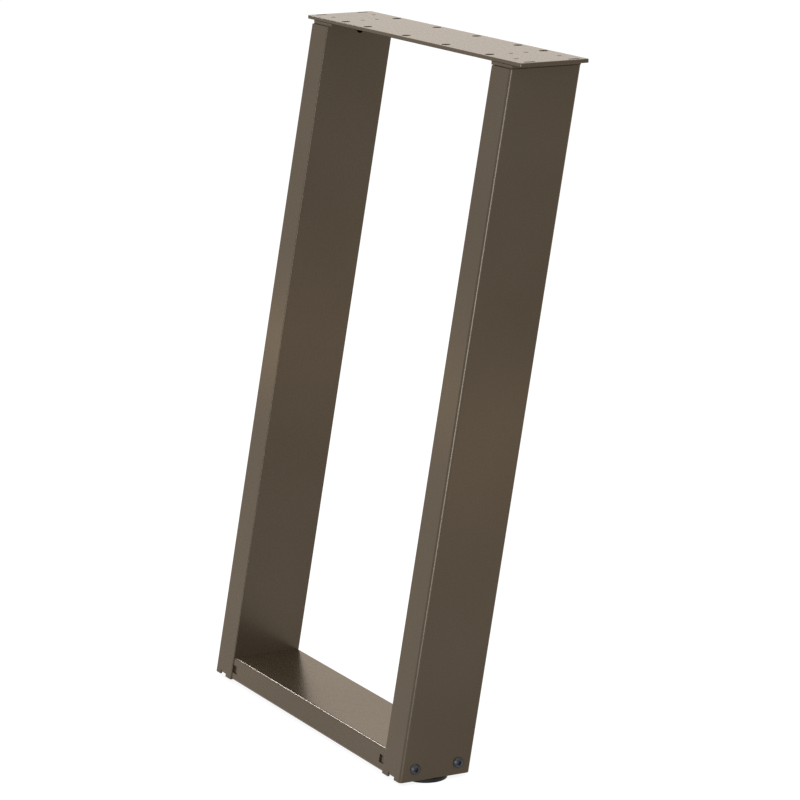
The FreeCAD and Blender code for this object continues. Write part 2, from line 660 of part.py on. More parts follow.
# Check every object and every piece before anything is written
for item in doc.Objects:
    if {"Invalid", "Error"} & set(item.State):
        raise RuntimeError(f"{item.Label} failed: {item.State}")
os.makedirs("parts", exist_ok=True)
for piece in pieces:
    shape = piece.Shape
    if shape.isNull() or not shape.isValid() or not shape.Solids:
        raise RuntimeError(f"{piece.Label} has no valid solid")
for piece in pieces:
    piece.Shape.exportStep(f"parts/{piece.Label}.step")
    box = piece.Shape.BoundBox
    print(f"{piece.Label}: {len(piece.Shape.Solids)} solid, {piece.Shape.Volume / 1000:.2f} cm3,"
          f" x {box.XMin:.1f} to {box.XMax:.1f}, y {box.YMin:.1f} to {box.YMax:.1f},"
          f" z {box.ZMin:.1f} to {box.ZMax:.1f}")
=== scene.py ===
# %% [markdown]
# # A U-shaped table leg
# The leg is one welded steel frame: a drilled top plate, two leaning box posts and a folded bar
# between their feet. Levelling screws with round plastic pads stand below the posts, and socket
# screws hold the bar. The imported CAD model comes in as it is. This lesson gives it its painted
# finish, models the small turned and threaded pieces and two welds, and sets up a plain studio.

# %% Bring in the CAD model
import json
import math
import bpy
from mathutils import Matrix, Vector

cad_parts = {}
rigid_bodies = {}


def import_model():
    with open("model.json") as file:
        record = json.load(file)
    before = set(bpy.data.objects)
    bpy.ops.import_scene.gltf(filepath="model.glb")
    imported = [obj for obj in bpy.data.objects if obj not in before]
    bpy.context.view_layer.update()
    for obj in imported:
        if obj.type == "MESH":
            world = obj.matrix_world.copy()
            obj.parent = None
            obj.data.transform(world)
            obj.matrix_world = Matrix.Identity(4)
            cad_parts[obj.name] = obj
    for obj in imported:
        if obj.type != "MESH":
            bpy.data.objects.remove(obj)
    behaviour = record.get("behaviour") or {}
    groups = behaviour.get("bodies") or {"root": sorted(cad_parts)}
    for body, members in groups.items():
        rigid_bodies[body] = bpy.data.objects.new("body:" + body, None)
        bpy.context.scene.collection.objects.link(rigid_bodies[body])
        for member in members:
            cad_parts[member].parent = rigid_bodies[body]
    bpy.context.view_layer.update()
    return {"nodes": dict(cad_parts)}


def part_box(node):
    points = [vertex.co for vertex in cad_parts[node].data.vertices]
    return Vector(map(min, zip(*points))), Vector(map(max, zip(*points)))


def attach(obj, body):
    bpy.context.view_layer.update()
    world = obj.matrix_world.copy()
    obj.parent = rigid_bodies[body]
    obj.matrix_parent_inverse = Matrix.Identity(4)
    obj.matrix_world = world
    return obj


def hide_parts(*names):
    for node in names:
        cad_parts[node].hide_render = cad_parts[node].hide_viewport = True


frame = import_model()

nodes = frame["nodes"]
print("nodes of the leg:", ", ".join(sorted(nodes)))

# %% [markdown]
# ## Working by operators
# Blender's modelling tools act on whatever is selected, and the imported nodes arrive selected.
# So each step first lets go of everything, takes one piece, and picks faces or edges by where
# they lie. These few helpers do in code what the mouse does in the window.

# %% Helpers for selecting
MM = 0.001


def let_go():
    """Leaves edit mode and deselects every object."""
    if bpy.context.object and bpy.context.object.mode != "OBJECT":
        bpy.ops.object.mode_set(mode="OBJECT")
    bpy.ops.object.select_all(action="DESELECT")


def take(*pieces):
    """Selects these pieces only. The first one becomes the active one."""
    let_go()
    for piece in pieces:
        piece.select_set(True)
    bpy.context.view_layer.objects.active = pieces[0]


def pick(piece, kind, test):
    """Opens a piece in edit mode with the faces or edges selected whose place passes the test."""
    take(piece)
    bpy.ops.object.mode_set(mode="EDIT")
    bpy.ops.mesh.select_mode(type=kind)
    bpy.ops.mesh.select_all(action="DESELECT")
    bpy.ops.object.mode_set(mode="OBJECT")
    mesh = piece.data
    if kind == "FACE":
        for face in mesh.polygons:
            face.select = test(face.center, face.normal)
    if kind == "EDGE":
        for edge in mesh.edges:
            start, end = (mesh.vertices[i].co for i in edge.vertices)
            edge.select = test((start + end) / 2, (end - start).normalized())
    bpy.ops.object.mode_set(mode="EDIT")


def facing_up(centre, normal):
    """Tells whether a face looks upwards."""
    return normal.z > 0.9


def facing_down(centre, normal):
    """Tells whether a face looks downwards."""
    return normal.z < -0.9


def lies_level(centre, along):
    """Tells whether an edge lies level, as the rims of an upright bar do."""
    return abs(along.z) < 0.5


# %% Helpers for starting and shaping a piece
SHARP_TURN = 0.9
MERGE_DISTANCE = 0.002 * MM
SMOOTH_BELOW = math.radians(32)


def new_piece(name):
    """Names the object that was just added and settles its place and turn into its mesh."""
    piece = bpy.context.object
    piece.name = name
    piece.data.name = name
    bpy.ops.object.transform_apply(location=True, rotation=True, scale=True)
    return piece


def upright_bar(name, radius, low, high, sides=48):
    """A round bar, or one with few sides, that stands between two heights."""
    let_go()
    bpy.ops.mesh.primitive_cylinder_add(
        vertices=sides, radius=radius, depth=high - low, location=(0, 0, (low + high) / 2),
    )
    return new_piece(name)


def draw_out(height, taper=1.0):
    """Extrudes the selected face by a height and scales its new end about the upright axis."""
    bpy.ops.mesh.extrude_region_move(TRANSFORM_OT_translate={"value": (0, 0, height)})
    bpy.ops.transform.resize(value=(taper, taper, 1), center_override=(0, 0, 0))


def carve(piece, tool, operation="DIFFERENCE"):
    """Cuts a piece with a tool body by a Boolean modifier, and throws the tool away."""
    take(piece)
    cut = piece.modifiers.new("carve", "BOOLEAN")
    cut.operation = operation
    cut.solver = "EXACT"
    cut.object = tool
    bpy.ops.object.modifier_apply(modifier=cut.name)
    bpy.data.objects.remove(tool)


def soften(piece, width):
    """Rounds every edge that turns by more than about fifty degrees with a Bevel modifier."""
    take(piece)
    bevel = piece.modifiers.new("soften", "BEVEL")
    bevel.width = width
    bevel.segments = 2
    bevel.limit_method = "ANGLE"
    bevel.angle_limit = SHARP_TURN
    bpy.ops.object.modifier_apply(modifier=bevel.name)


def weld(name, *pieces):
    """Joins closed bodies into one piece, with faces outwards and curved ones shaded smooth."""
    take(*pieces)
    if len(pieces) > 1:
        bpy.ops.object.join()
    piece = bpy.context.object
    piece.name = name
    piece.data.name = name
    bpy.ops.object.mode_set(mode="EDIT")
    bpy.ops.mesh.select_all(action="SELECT")
    bpy.ops.mesh.remove_doubles(threshold=MERGE_DISTANCE)
    bpy.ops.mesh.normals_make_consistent(inside=False)
    bpy.ops.object.mode_set(mode="OBJECT")
    bpy.ops.object.shade_smooth_by_angle(angle=SMOOTH_BELOW)
    print(name, "has", len(piece.data.polygons), "faces")
    return piece


def copy_to(piece, name, place, turn=(0, 0, 0)):
    """Copies a piece with its own mesh, turns it, moves it, and settles both into the mesh."""
    take(piece)
    bpy.ops.object.duplicate()
    twin = bpy.context.object
    twin.rotation_euler = turn
    twin.location = place
    return new_piece(name)


# %% [markdown]
# ## A screw thread
# A thread is a ridge that winds round a core. The Screw modifier is made for this: it turns a
# small outline round an axis and lifts it by one pitch a turn. A three-cornered outline gives
# the ridge, and filling its two open ends closes it. The outline's corners lie on a circle of
# radius one, so it is 1.5 high before it is scaled. It takes up a little less than one pitch, so
# that neighbouring turns stay apart.

# %% Wind a ridge round the upright axis
QUARTER_TURN = math.pi / 2
STEPS_A_TURN = 24
RIDGE_WIDTH = 0.92


def wind_ridge(name, crest, root, pitch, low, turns):
    """A thread's ridge, from its root radius out to its crest, starting at the height low."""
    let_go()
    outwards = (crest - root) / 1.5
    bpy.ops.mesh.primitive_circle_add(
        vertices=3, radius=1.0, rotation=(QUARTER_TURN, QUARTER_TURN, 0),
    )
    ridge = new_piece(name)
    bpy.ops.object.mode_set(mode="EDIT")
    bpy.ops.mesh.select_all(action="SELECT")
    bpy.ops.transform.resize(
        value=(outwards, 1, RIDGE_WIDTH * pitch / math.sqrt(3)), center_override=(0, 0, 0),
    )
    bpy.ops.transform.translate(value=(crest - outwards, 0, low))
    bpy.ops.object.mode_set(mode="OBJECT")
    winding = ridge.modifiers.new("winding", "SCREW")
    winding.axis = "Z"
    winding.steps = winding.render_steps = STEPS_A_TURN
    winding.screw_offset = pitch
    winding.iterations = turns
    bpy.ops.object.modifier_apply(modifier=winding.name)
    bpy.ops.object.mode_set(mode="EDIT")
    bpy.ops.mesh.select_all(action="SELECT")
    bpy.ops.mesh.fill_holes(sides=3)
    bpy.ops.object.mode_set(mode="OBJECT")
    return ridge


# %% [markdown]
# ## Hexagons with chamfered corners
# The corners of a nut are cut back by a shallow cone. That is easy to copy: a six-sided prism is
# cut by a slightly larger round body whose rims are bevelled, and only what both share is kept.

# %% A chamfered hexagon blank
ROUND_OVERSIZE = 1.002
HEIGHT_SPARE = 0.0005
CHAMFER_SHARE = 0.9


def hexagon_blank(name, flats, height, low, bore=None):
    """A hexagon across the given flats, standing on the height low, with an optional round hole."""
    corner = flats / math.sqrt(3)
    high = low + height
    spare = height * HEIGHT_SPARE
    blank = upright_bar(name, corner, low, high, sides=6)
    turned = upright_bar(name + "_turned", corner * ROUND_OVERSIZE, low - spare, high + spare, sides=72)
    pick(turned, "EDGE", lies_level)
    bpy.ops.mesh.bevel(
        offset=(corner - flats / 2) * CHAMFER_SHARE, offset_pct=0, segments=1, affect="EDGES",
    )
    bpy.ops.object.mode_set(mode="OBJECT")
    carve(blank, turned, "INTERSECT")
    if bore:
        drill = upright_bar(name + "_drill", bore, low - height / 2, high + height / 2)
        carve(blank, drill)
    return blank


# %% [markdown]
# ## Socket screws of the bar
# Each head is a low dome with a hexagon socket. The dome is a slice of a ball: a sphere primitive
# is cut by two bisect planes, and its rim is extruded down to the post. The socket is carved with
# a hexagon bar that flares at its mouth, which leaves the small chamfer of a real socket.

# %% Model the head of one socket screw, upright, with its underside at height zero
HEAD_RADIUS = 5.7 * MM
HEAD_HEIGHT = 3.25 * MM
RIM = 0.4 * MM
CROWN_RADIUS = 3.1 * MM
rise = HEAD_HEIGHT - RIM
ball_depth = (HEAD_RADIUS ** 2 - CROWN_RADIUS ** 2 - rise ** 2) / (2 * rise)
ball_radius = math.hypot(HEAD_RADIUS, ball_depth)

let_go()
bpy.ops.mesh.primitive_uv_sphere_add(
    segments=64, ring_count=48, radius=ball_radius, location=(0, 0, RIM - ball_depth),
)
head = new_piece("screw_head")
bpy.ops.object.mode_set(mode="EDIT")
bpy.ops.mesh.select_all(action="SELECT")
bpy.ops.mesh.bisect(plane_co=(0, 0, HEAD_HEIGHT), plane_no=(0, 0, 1), use_fill=True, clear_outer=True)
bpy.ops.mesh.select_all(action="SELECT")
bpy.ops.mesh.bisect(plane_co=(0, 0, RIM), plane_no=(0, 0, 1), use_fill=True, clear_inner=True)
pick(head, "FACE", facing_down)
draw_out(-RIM)
bpy.ops.object.mode_set(mode="OBJECT")
print("the dome is cut from a ball of radius", round(ball_radius / MM, 2), "mm")

# %% Carve its hexagon socket
SOCKET_FLATS = 4.0 * MM
SOCKET_DEPTH = 2.2 * MM
MOUTH_DEPTH = 0.25 * MM
ABOVE_HEAD = 0.1 * MM
MOUTH_FLARE = 1.22

wrench_room = upright_bar(
    "wrench_room", SOCKET_FLATS / math.sqrt(3), HEAD_HEIGHT - SOCKET_DEPTH,
    HEAD_HEIGHT - MOUTH_DEPTH, sides=6,
)
pick(wrench_room, "FACE", facing_up)
draw_out(MOUTH_DEPTH + ABOVE_HEAD, MOUTH_FLARE)
bpy.ops.object.mode_set(mode="OBJECT")
carve(head, wrench_room)
print("the socket is", round(SOCKET_DEPTH / MM, 2), "mm deep")

# %% [markdown]
# The shank is a plain bar that steps down to a threaded end. Only that end shows, from below,
# where it comes through the nut in the bar.

# %% The shank and the threaded end
BOLT_LENGTH = 50 * MM
THREAD_LENGTH = 13 * MM
BOLT_RADIUS = 2.96 * MM
BOLT_ROOT = 2.38 * MM
BOLT_PITCH = 1.0 * MM
BOLT_TURNS = 12
NECK_LENGTH = 0.5 * MM
NECK_TAPER = 0.82
TIP_LENGTH = 0.48 * MM
TIP_TAPER = 0.8
NECK_AND_TIP = 1.0 * MM
RIDGE_ABOVE_TIP = 0.9 * MM

shank = upright_bar("shank", BOLT_RADIUS, THREAD_LENGTH - BOLT_LENGTH, 0)
pick(shank, "FACE", facing_down)
draw_out(-NECK_LENGTH, NECK_TAPER)
draw_out(NECK_AND_TIP - THREAD_LENGTH)
draw_out(-TIP_LENGTH, TIP_TAPER)
bpy.ops.object.mode_set(mode="OBJECT")
ridge_low = RIDGE_ABOVE_TIP - BOLT_LENGTH
ridge = wind_ridge("bolt_ridge", BOLT_RADIUS, BOLT_ROOT, BOLT_PITCH, ridge_low, BOLT_TURNS)
socket_screw = weld("socket_screw", head, shank, ridge)

# %% [markdown]
# ## Place the four socket screws
# They lie across the posts, two at each foot, at the height and depth of the CAD bolts. Their places are
# read from the CAD node's box, so they follow the CAD model if it changes.
# The sockets come out at slightly different turns, as they do when screws are driven by hand.

# %% Copy the screw to its four places
SIDES = (("right", 1), ("left", -1))
ROWS = ("front", "back")
SOCKET_TURNS = (0.35, 0.95)
CAD_HEAD_RADIUS = 5.75 * MM
CAD_HEAD_HEIGHT = 3.3 * MM

bolt_low, bolt_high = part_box("bar_bolts")
BOLT_Z = (bolt_low.z + bolt_high.z) / 2
BOLT_YS = (bolt_low.y + CAD_HEAD_RADIUS, bolt_high.y - CAD_HEAD_RADIUS)
POST_OUT = bolt_high.x - CAD_HEAD_HEIGHT

for side, hand in SIDES:
    for row, y, turn in zip(ROWS, BOLT_YS, SOCKET_TURNS):
        driven = copy_to(socket_screw, f"{side}_{row}_bolt", (0, 0, 0), (0, 0, turn * hand))
        place = (hand * POST_OUT, y, BOLT_Z)
        bolt = copy_to(driven, f"{side}_{row}_socket_screw", place, (0, hand * QUARTER_TURN, 0))
        bpy.data.objects.remove(driven)
        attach(bolt, "frame")
        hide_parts("bar_bolts")
bpy.data.objects.remove(socket_screw)
print("socket screws at y", [round(y / MM, 1) for y in BOLT_YS], "z", round(BOLT_Z / MM, 1))

# %% [markdown]
# ## Weld nuts
# The bar's end brackets carry two nuts each, and each foot plate carries a larger one. They are
# hexagon blanks with a bore. The bracket's nuts lie on their side, so their blank is turned.

# %% Nuts on the brackets
BAR_NUT_FLATS = 9.95 * MM
BAR_NUT_HEIGHT = 4.98 * MM
BAR_NUT_BORE = 3.02 * MM
BAR_NUT_OFFSET = 4.99 * MM
BAR_NUT_ROUNDING = 0.15 * MM


def nut_blank(name, flats, height, bore, rounding):
    """One nut, standing at height zero on the upright axis."""
    blank = hexagon_blank(name, flats, height, 0, bore=bore)
    soften(blank, rounding)
    return weld(name, blank)


nut_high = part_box("bar_nuts")[1]
bar_nut = nut_blank(
    "bar_nut_blank", BAR_NUT_FLATS, BAR_NUT_HEIGHT, BAR_NUT_BORE, BAR_NUT_ROUNDING,
)
for side, hand in SIDES:
    for row, y in zip(ROWS, BOLT_YS):
        place = (hand * (nut_high.x - BAR_NUT_OFFSET), y, BOLT_Z)
        nut = copy_to(bar_nut, f"{side}_{row}_bar_nut", place, (0, hand * QUARTER_TURN, 0))
        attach(nut, "frame")
        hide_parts("bar_nuts")
bpy.data.objects.remove(bar_nut)
print("nuts of the bar end at x", round(nut_high.x / MM, 2))

# %% [markdown]
# The nut, the screw and the pad of a foot share one upright axis, the middle of the CAD pad's box.
# A hexagon comes out with corners at the front and the back. A twelfth of a turn brings them to
# the sides, where the CAD's foot nuts and flanges have them.

# %% Nuts on the foot plates
FOOT_NUT_FLATS = 12.95 * MM
FOOT_NUT_HEIGHT = 6.45 * MM
FOOT_NUT_BORE = 4.02 * MM
FOOT_NUT_ROUNDING = 0.2 * MM
CLEARANCE = 0.02 * MM
CORNERS_TO_SIDES = math.pi / 6

pad_low, pad_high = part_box("right_foot_pad")
FOOT_X = (pad_low.x + pad_high.x) / 2
FOOT_Y = (pad_low.y + pad_high.y) / 2
foot_nut_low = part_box("foot_nuts")[0]
foot_nut = nut_blank(
    "foot_nut_blank", FOOT_NUT_FLATS, FOOT_NUT_HEIGHT, FOOT_NUT_BORE, FOOT_NUT_ROUNDING,
)
for side, hand in SIDES:
    place = (hand * FOOT_X, FOOT_Y, foot_nut_low.z + CLEARANCE)
    nut = copy_to(foot_nut, f"{side}_foot_nut", place, (0, 0, CORNERS_TO_SIDES))
    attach(nut, "frame")
    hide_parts("foot_nuts")
bpy.data.objects.remove(foot_nut)
print("levelling feet at x", round(FOOT_X / MM, 2), "y", round(FOOT_Y / MM, 2))

# %% [markdown]
# ## Levelling screws
# A levelling screw has a hexagon flange for a spanner, a long threaded stud above it, and a short
# pivot below it that turns in the pad. All of them, and the thread's ridge too, are closed bodies
# that run into each other, so joining them is enough. Screwed out, the thread shows between the
# foot and the pad.

# %% The flange, the stud and the pivot
FLANGE_FLATS = 13.95 * MM
FLANGE_ROUNDING = 0.12 * MM
STUD_LENGTH = 28 * MM
STUD_CORE = 3.4 * MM
STUD_TIP = 0.8 * MM
STUD_SUNK = 0.6 * MM
PIVOT_REACH = 2.4 * MM
PIVOT_HEIGHT = 2.8 * MM
PIVOT_RADIUS = 4.45 * MM
PIVOT_ROUNDING = 0.5 * MM

screw_low, screw_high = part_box("right_foot_screw")
FLANGE_LOW = screw_low.z + PIVOT_REACH
FLANGE_TOP = screw_high.z - STUD_LENGTH
flange = hexagon_blank("flange", FLANGE_FLATS, FLANGE_TOP - FLANGE_LOW, FLANGE_LOW)
soften(flange, FLANGE_ROUNDING)

stud = upright_bar("stud", STUD_CORE, FLANGE_LOW + STUD_SUNK, screw_high.z - STUD_TIP)
pick(stud, "FACE", facing_up)
draw_out(STUD_TIP, TIP_TAPER)
bpy.ops.object.mode_set(mode="OBJECT")

pivot_low = screw_low.z + CLEARANCE
pivot = upright_bar("pivot", PIVOT_RADIUS, pivot_low, pivot_low + PIVOT_HEIGHT)
pick(pivot, "EDGE", lambda centre, along: centre.z < screw_low.z + 0.1 * MM and lies_level(centre, along))
bpy.ops.mesh.bevel(offset=PIVOT_ROUNDING, segments=3, affect="EDGES")
bpy.ops.object.mode_set(mode="OBJECT")
print("the flange is", round((FLANGE_TOP - FLANGE_LOW) / MM, 2), "mm high")

# %% The stud's thread, and a copy of the screw for each foot
STUD_CREST = 3.97 * MM
STUD_ROOT = 3.28 * MM
STUD_PITCH = 1.25 * MM
STUD_TURNS = 20
RIDGE_ABOVE_FLANGE = 1.2 * MM

ridge_low = FLANGE_TOP + RIDGE_ABOVE_FLANGE
ridge = wind_ridge("stud_ridge", STUD_CREST, STUD_ROOT, STUD_PITCH, ridge_low, STUD_TURNS)
levelling_screw = weld("levelling_screw", flange, stud, pivot, ridge)
for side, hand in SIDES:
    place = (hand * FOOT_X, FOOT_Y, 0)
    screw = copy_to(levelling_screw, f"{side}_levelling_screw", place, (0, 0, CORNERS_TO_SIDES))
    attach(screw, f"{side}_screw")
    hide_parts(f"{side}_foot_screw")
bpy.data.objects.remove(levelling_screw)

# %% [markdown]
# ## Pads
# The pad is a moulded plastic disc, rounded at its rim, with a socket on top for the screw's pivot.
# Its sole has rings that grip the floor. It starts as a cylinder: the rings come from insetting
# the sole again and again and pushing every second ring up.

# %% The disc of the pad, with the socket for the pivot
PAD_RADIUS = (pad_high.x - pad_low.x) / 2
PAD_HEIGHT = pad_high.z - pad_low.z
SOCKET_RADIUS = 4.6 * MM
SOCKET_FLOOR = pad_high.z - 2.5 * MM
SOCKET_BORDER = 2.6 * MM

disc = upright_bar("disc", PAD_RADIUS, pad_low.z, pad_high.z, sides=96)
pick(disc, "FACE", facing_up)
bpy.ops.mesh.inset(thickness=PAD_RADIUS - SOCKET_RADIUS - SOCKET_BORDER)
bpy.ops.mesh.inset(thickness=SOCKET_BORDER)
draw_out(SOCKET_FLOOR - pad_high.z)
bpy.ops.object.mode_set(mode="OBJECT")
print("the pad's socket is", round((pad_high.z - SOCKET_FLOOR) / MM, 2), "mm deep")

# %% The rings of the sole, the rounded rims, and a copy of the pad for each foot
GROOVES = 5
SOLE_BORDER = 3.0 * MM
GROOVE_SLOPE = 0.2 * MM
GROOVE_DEPTH = 0.6 * MM
GROOVE_WIDTH = 1.1 * MM
RING_WIDTH = 1.6 * MM
RIM_ROUNDING = 0.85 * MM


def on_rim(centre, along):
    """Tells whether an edge belongs to the upper or the lower rim of the pad."""
    return abs(centre.xy.length - PAD_RADIUS) < 0.2 * MM and lies_level(centre, along)


pick(disc, "FACE", facing_down)
bpy.ops.mesh.inset(thickness=SOLE_BORDER)
for groove in range(GROOVES):
    bpy.ops.mesh.inset(thickness=GROOVE_SLOPE)
    bpy.ops.transform.translate(value=(0, 0, GROOVE_DEPTH))
    bpy.ops.mesh.inset(thickness=GROOVE_WIDTH)
    bpy.ops.mesh.inset(thickness=GROOVE_SLOPE)
    bpy.ops.transform.translate(value=(0, 0, -GROOVE_DEPTH))
    bpy.ops.mesh.inset(thickness=RING_WIDTH)
bpy.ops.object.mode_set(mode="OBJECT")
pick(disc, "EDGE", on_rim)
bpy.ops.mesh.bevel(offset=RIM_ROUNDING, segments=4, affect="EDGES")
bpy.ops.object.mode_set(mode="OBJECT")
pad = weld("pad", disc)
for side, hand in SIDES:
    foot = copy_to(pad, f"{side}_pad", (hand * FOOT_X, FOOT_Y, 0))
    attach(foot, f"{side}_foot")
    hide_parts(f"{side}_foot_pad")
bpy.data.objects.remove(pad)
print("pads are", round(2 * PAD_RADIUS / MM, 1), "mm across and", round(PAD_HEIGHT / MM, 1), "mm high")

# %% [markdown]
# ## Ground welds in front of the cap plates
# Each cap plate ends a hair behind the post's front wall. A weld that was ground round closes the
# slit between them. The bead starts as a bar along the slit, its ends are rounded off by a bevel,
# and then it is squashed to a low oval.

# %% Model the bead and copy it to both posts
BEAD_RADIUS = 1.15 * MM
BEAD_SQUASH = 0.8
BEAD_FORWARD = 0.2 * MM
BEAD_DOWN = 1.3 * MM
BEAD_ROUNDING = 0.7 * MM
BEAD_PAST_SHELL = 1.2 * MM
BEAD_SHORT_OF_CAP = 1.0 * MM

cap_low, cap_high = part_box("right_cap_plate")
shell_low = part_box("right_outer_shell")[0]
BEAD_START = shell_low.x - BEAD_PAST_SHELL
BEAD_END = cap_high.x - BEAD_SHORT_OF_CAP
HALF_BEAD = (BEAD_END - BEAD_START) / 2


def at_bead_end(centre, along):
    """Tells whether an edge belongs to the rim at either end of the bead."""
    return abs(abs(centre.x) - HALF_BEAD) < 0.1 * MM and abs(along.x) < 0.5


let_go()
bpy.ops.mesh.primitive_cylinder_add(
    vertices=32, radius=BEAD_RADIUS, depth=BEAD_END - BEAD_START, rotation=(0, QUARTER_TURN, 0),
)
bead = new_piece("bead")
pick(bead, "EDGE", at_bead_end)
bpy.ops.mesh.bevel(offset=BEAD_ROUNDING, segments=4, affect="EDGES")
bpy.ops.mesh.select_all(action="SELECT")
bpy.ops.transform.resize(value=(1, 1, BEAD_SQUASH), center_override=(0, 0, 0))
bpy.ops.object.mode_set(mode="OBJECT")
bead = weld("bead", bead)
for side, hand in SIDES:
    place = (hand * (BEAD_START + BEAD_END) / 2, cap_low.y - BEAD_FORWARD, cap_low.z - BEAD_DOWN)
    seam = copy_to(bead, f"{side}_cap_weld", place)
    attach(seam, "frame")
bpy.data.objects.remove(bead)
print("weld beads are", round((BEAD_END - BEAD_START) / MM, 1), "mm long")

# %% [markdown]
# ## Painted finish
# The steel is powder coated in a dark bronze. Powder melts into a skin with a soft gloss, a slight
# orange peel and fine flakes that catch the light. Three patterns on object coordinates give this
# at its real scale: about two millimetres for the peel, under half a millimetre for the flakes,
# and twenty centimetres for the slow drift in tone that any large coated sheet has.

# %% Node helpers
def add(tree, kind, label, **values):
    """Adds one node to a material and sets its plain inputs by name."""
    node = tree.nodes.new(kind)
    node.label = label
    for key, value in values.items():
        socket = key.replace("_", " ")
        if socket in node.inputs:
            node.inputs[socket].default_value = value
        else:
            setattr(node, key, value)
    return node


def new_finish(name):
    """A material with its shader and the object's own coordinates, ready for patterns."""
    finish = bpy.data.materials.new(name)
    finish.use_nodes = True
    tree = finish.node_tree
    shader = tree.nodes["Principled BSDF"]
    coords = tree.nodes.new("ShaderNodeTexCoord")
    return finish, tree, shader, coords.outputs["Object"]


def srgb(red, green, blue, alpha=1.0):
    """A colour as read off a picture, in the linear numbers that Blender's sockets take."""
    def line(value):
        value /= 255
        return value / 12.92 if value <= 0.04045 else ((value + 0.055) / 1.055) ** 2.4
    return (line(red), line(green), line(blue), alpha)


def band(tree, source, label, low, high, to_low, to_high):
    """Maps a pattern's range onto another, so that it can drive colour or roughness."""
    ramp = add(tree, "ShaderNodeMapRange", label)
    ramp.inputs["From Min"].default_value = low
    ramp.inputs["From Max"].default_value = high
    ramp.inputs["To Min"].default_value = to_low
    ramp.inputs["To Max"].default_value = to_high
    tree.links.new(source, ramp.inputs["Value"])
    return ramp.outputs["Result"]


def blend_colours(tree, amount, first, second, label):
    """Mixes two colours, each a plain colour or another node's output."""
    mix = add(tree, "ShaderNodeMix", label, data_type="RGBA")
    tree.links.new(amount, mix.inputs["Factor"])
    for socket, colour in ((mix.inputs[6], first), (mix.inputs[7], second)):
        if isinstance(colour, tuple):
            socket.default_value = colour
        else:
            tree.links.new(colour, socket)
    return mix.outputs[2]


def emboss(tree, shader, height, label, strength, distance):
    """Turns a pattern into small hills and hollows of the surface."""
    bump = add(tree, "ShaderNodeBump", label, Strength=strength, Distance=distance)
    tree.links.new(height, bump.inputs["Height"])
    tree.links.new(bump.outputs["Normal"], shader.inputs["Normal"])
    return bump


# %% The bronze powder coat
BRONZE = srgb(80, 69, 56)
BRONZE_LIGHT = srgb(85, 74, 61)
BRONZE_FLAKE = srgb(116, 102, 86)
WARM_SHINE = (1.0, 0.86, 0.70, 1.0)
COATED_WORDS = ("shell", "panel", "cap_plate", "foot_plate", "crossbar", "bracket", "sleeve")


def bronze_coat(name):
    """Dark bronze powder coat: slow drift in tone, fine flakes and orange peel."""
    coat, tree, shader, place = new_finish(name)
    drift = add(tree, "ShaderNodeTexNoise", "slow drift in tone", Scale=5.0, Detail=2.0)
    flakes = add(tree, "ShaderNodeTexVoronoi", "flakes", Scale=2600.0)
    peel = add(tree, "ShaderNodeTexNoise", "orange peel", Scale=420.0, Detail=1.0, Roughness=0.4)
    for pattern in (drift, flakes, peel):
        tree.links.new(place, pattern.inputs["Vector"])
    tone = band(tree, drift.outputs["Fac"], "drift", 0.35, 0.65, 0.0, 1.0)
    colour = blend_colours(tree, tone, BRONZE, BRONZE_LIGHT, "base tone")
    grey = tree.nodes.new("ShaderNodeSeparateColor")
    tree.links.new(flakes.outputs["Color"], grey.inputs["Color"])
    sparkle = band(tree, grey.outputs["Red"], "one flake in six", 0.84, 1.0, 0.0, 0.14)
    colour = blend_colours(tree, sparkle, colour, BRONZE_FLAKE, "flakes over the tone")
    tree.links.new(colour, shader.inputs["Base Color"])
    gloss = band(tree, peel.outputs["Fac"], "gloss", 0.3, 0.7, 0.23, 0.28)
    tree.links.new(gloss, shader.inputs["Roughness"])
    shader.inputs["Metallic"].default_value = 0.5
    shader.inputs["IOR"].default_value = 1.33
    shader.inputs["Specular Tint"].default_value = WARM_SHINE
    bump = emboss(tree, shader, peel.outputs["Fac"], "peel height", 0.25, 0.00003)
    return coat, tree, shader, place, colour, gloss, bump


coat = bronze_coat("bronze_powder_coat")[0]
coated = [name for name in nodes if any(word in name for word in COATED_WORDS)]
for name in coated:
    for slot in nodes[name].material_slots:
        slot.material = coat
print("coated:", ", ".join(sorted(coated)))

# %% [markdown]
# ## The top plate's plug welds
# The plate is held to the posts by eight small plug welds that were ground flat and coated over.
# They show as small dull dots. A drawn dot needs no new geometry: the distance from each of the
# eight places is worked out in the material, and there the coat loses its metal flakes and its
# gloss and is dented by a hair. Two places are enough, because both ends and both edges of the
# plate are alike.

# %% The places of the dots, by arithmetic in the material
WELD_DOTS = ((203.5 * MM, 24.25 * MM), (164.0 * MM, 8.5 * MM))

plate_coat, tree, shader, place, colour, gloss, bump = bronze_coat("bronze_coat_of_top_plate")
split = tree.nodes.new("ShaderNodeSeparateXYZ")
tree.links.new(place, split.inputs["Vector"])


def number(operation, first, second=None, label=""):
    """One step of arithmetic in the plate's material."""
    node = add(tree, "ShaderNodeMath", label, operation=operation)
    for socket, value in zip(node.inputs, (first, second)):
        if value is None:
            continue
        if isinstance(value, float):
            socket.default_value = value
        else:
            tree.links.new(value, socket)
    return node.outputs["Value"]


side_x = number("ABSOLUTE", split.outputs["X"], label="both ends at once")
side_y = number("ABSOLUTE", split.outputs["Y"], label="both edges at once")
nearest = None
for dot_x, dot_y in WELD_DOTS:
    off_x = number("SUBTRACT", side_x, dot_x)
    off_y = number("SUBTRACT", side_y, dot_y)
    squares = number("ADD", number("MULTIPLY", off_x, off_x), number("MULTIPLY", off_y, off_y))
    away = number("SQRT", squares)
    nearest = away if nearest is None else number("MINIMUM", nearest, away)
print("a quarter of the plate has dots at", WELD_DOTS)

